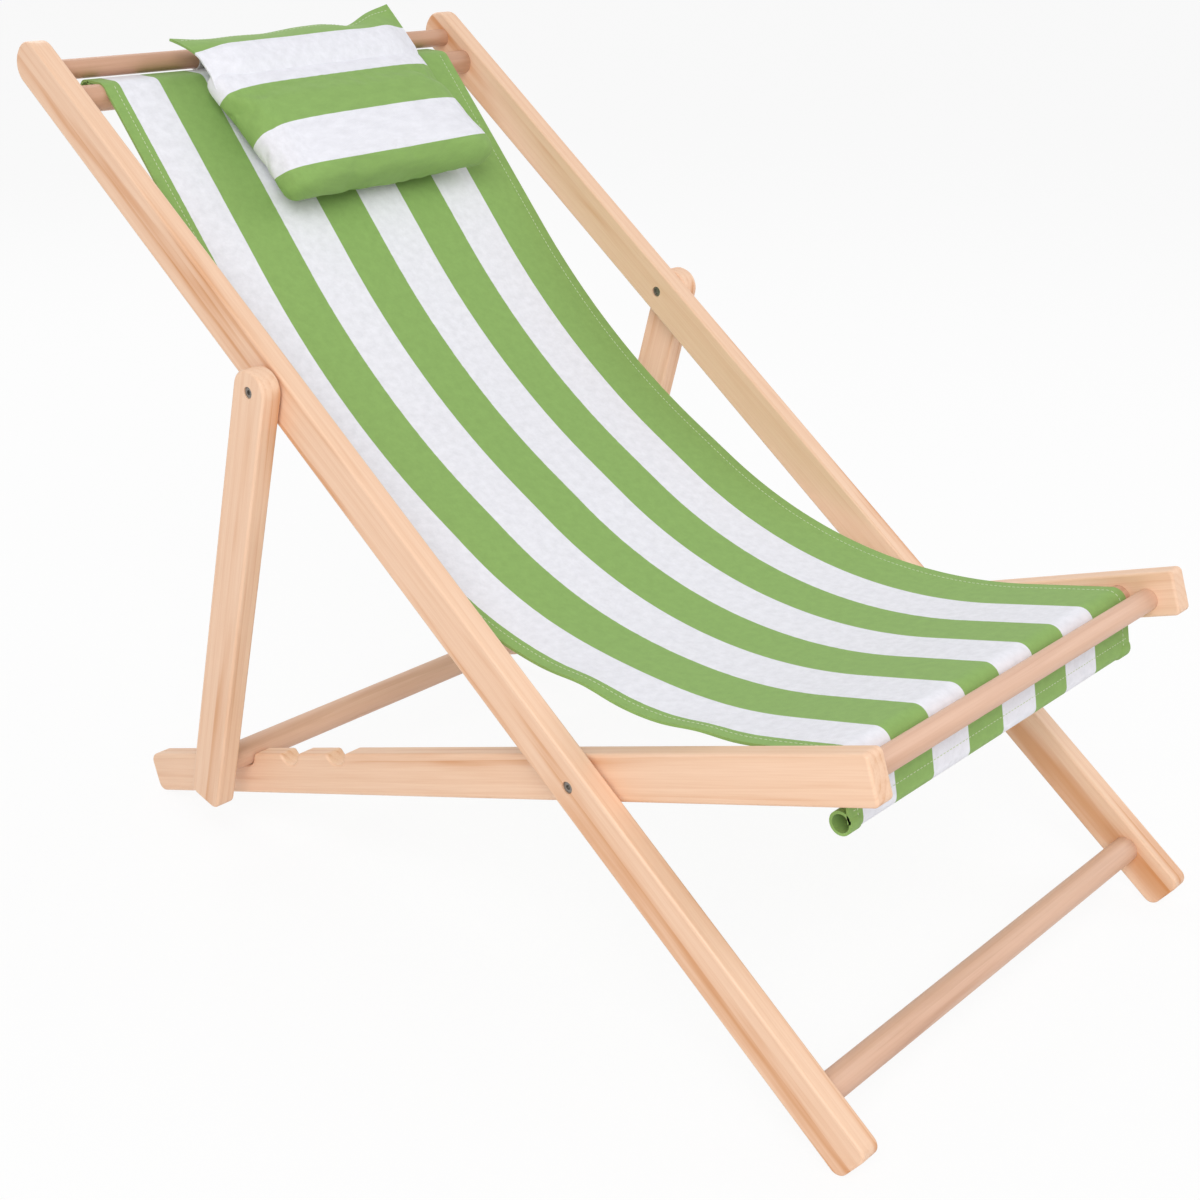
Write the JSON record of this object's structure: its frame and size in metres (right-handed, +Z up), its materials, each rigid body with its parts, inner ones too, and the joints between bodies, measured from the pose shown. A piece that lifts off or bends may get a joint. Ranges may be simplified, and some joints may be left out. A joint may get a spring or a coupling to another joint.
{
  "type": "folding beach chair",
  "caption": "Folding timber beach chair with crossed back and seat rails, a notched prop frame, a striped fabric sling and a head pillow.",
  "frame": {"origin": "centre of the chair's box on the floor it stands on", "axes": "+Z up, the sitter faces -Y, +X is the sitter's left"},
  "size_m": [0.57, 0.9714, 0.7431],
  "materials": {
    "pine_rail": "sanded pine under clear satin lacquer",
    "pine_dowel": "turned pine dowel under clear satin lacquer",
    "hem_rod": "plain turned dowel",
    "zinc_steel": "dull zinc-plated steel",
    "sling_canvas": "striped woven canvas",
    "pillow_canvas": "striped woven canvas",
    "elastic_strap": "woven elastic"
  },
  "bodies": {
    "seat_frame": {"seat_rail_right": "pine_rail", "seat_rail_left": "pine_rail", "front_crossbar": "pine_dowel", "sling_crossbar": "pine_dowel", "sling_hem_rod": "hem_rod"},
    "back_frame": {"back_rail_right": "pine_rail", "back_rail_left": "pine_rail", "foot_crossbar": "pine_dowel", "top_crossbar_lower": "pine_dowel", "top_crossbar_upper": "pine_dowel", "sling": "sling_canvas", "sling_top_rod": "hem_rod", "pillow": "pillow_canvas", "seat_pivot_bolt_right": "zinc_steel", "seat_pivot_nut_right": "zinc_steel", "seat_pivot_washer_right": "zinc_steel", "prop_pivot_bolt_right": "zinc_steel", "prop_pivot_nut_right": "zinc_steel", "prop_pivot_washer_right": "zinc_steel", "pillow_strap_right": "elastic_strap", "seat_pivot_bolt_left": "zinc_steel", "seat_pivot_nut_left": "zinc_steel", "seat_pivot_washer_left": "zinc_steel", "prop_pivot_bolt_left": "zinc_steel", "prop_pivot_nut_left": "zinc_steel", "prop_pivot_washer_left": "zinc_steel", "pillow_strap_left": "elastic_strap"},
    "prop_frame": {"prop_leg_right": "pine_rail", "prop_leg_left": "pine_rail", "prop_crossbar": "pine_dowel"}
  },
  "joints": [
    {"name": "back_fold", "type": "hinge", "parent": "seat_frame", "child": "back_frame", "pos_m": [0, -0.19536, 0.22481], "axis": [1, 0, 0], "range_deg": [0, 117], "deforming": ["sling"]},
    {"name": "prop_swing", "type": "hinge", "parent": "back_frame", "child": "prop_frame", "pos_m": [0, 0.14646, 0.48239], "axis": [-1, 0, 0], "range_deg": [0, 63.5]}
  ],
  "couplings": [
    {"joint": "prop_swing", "follows": "back_fold", "ratio": 0.5419}
  ]
}
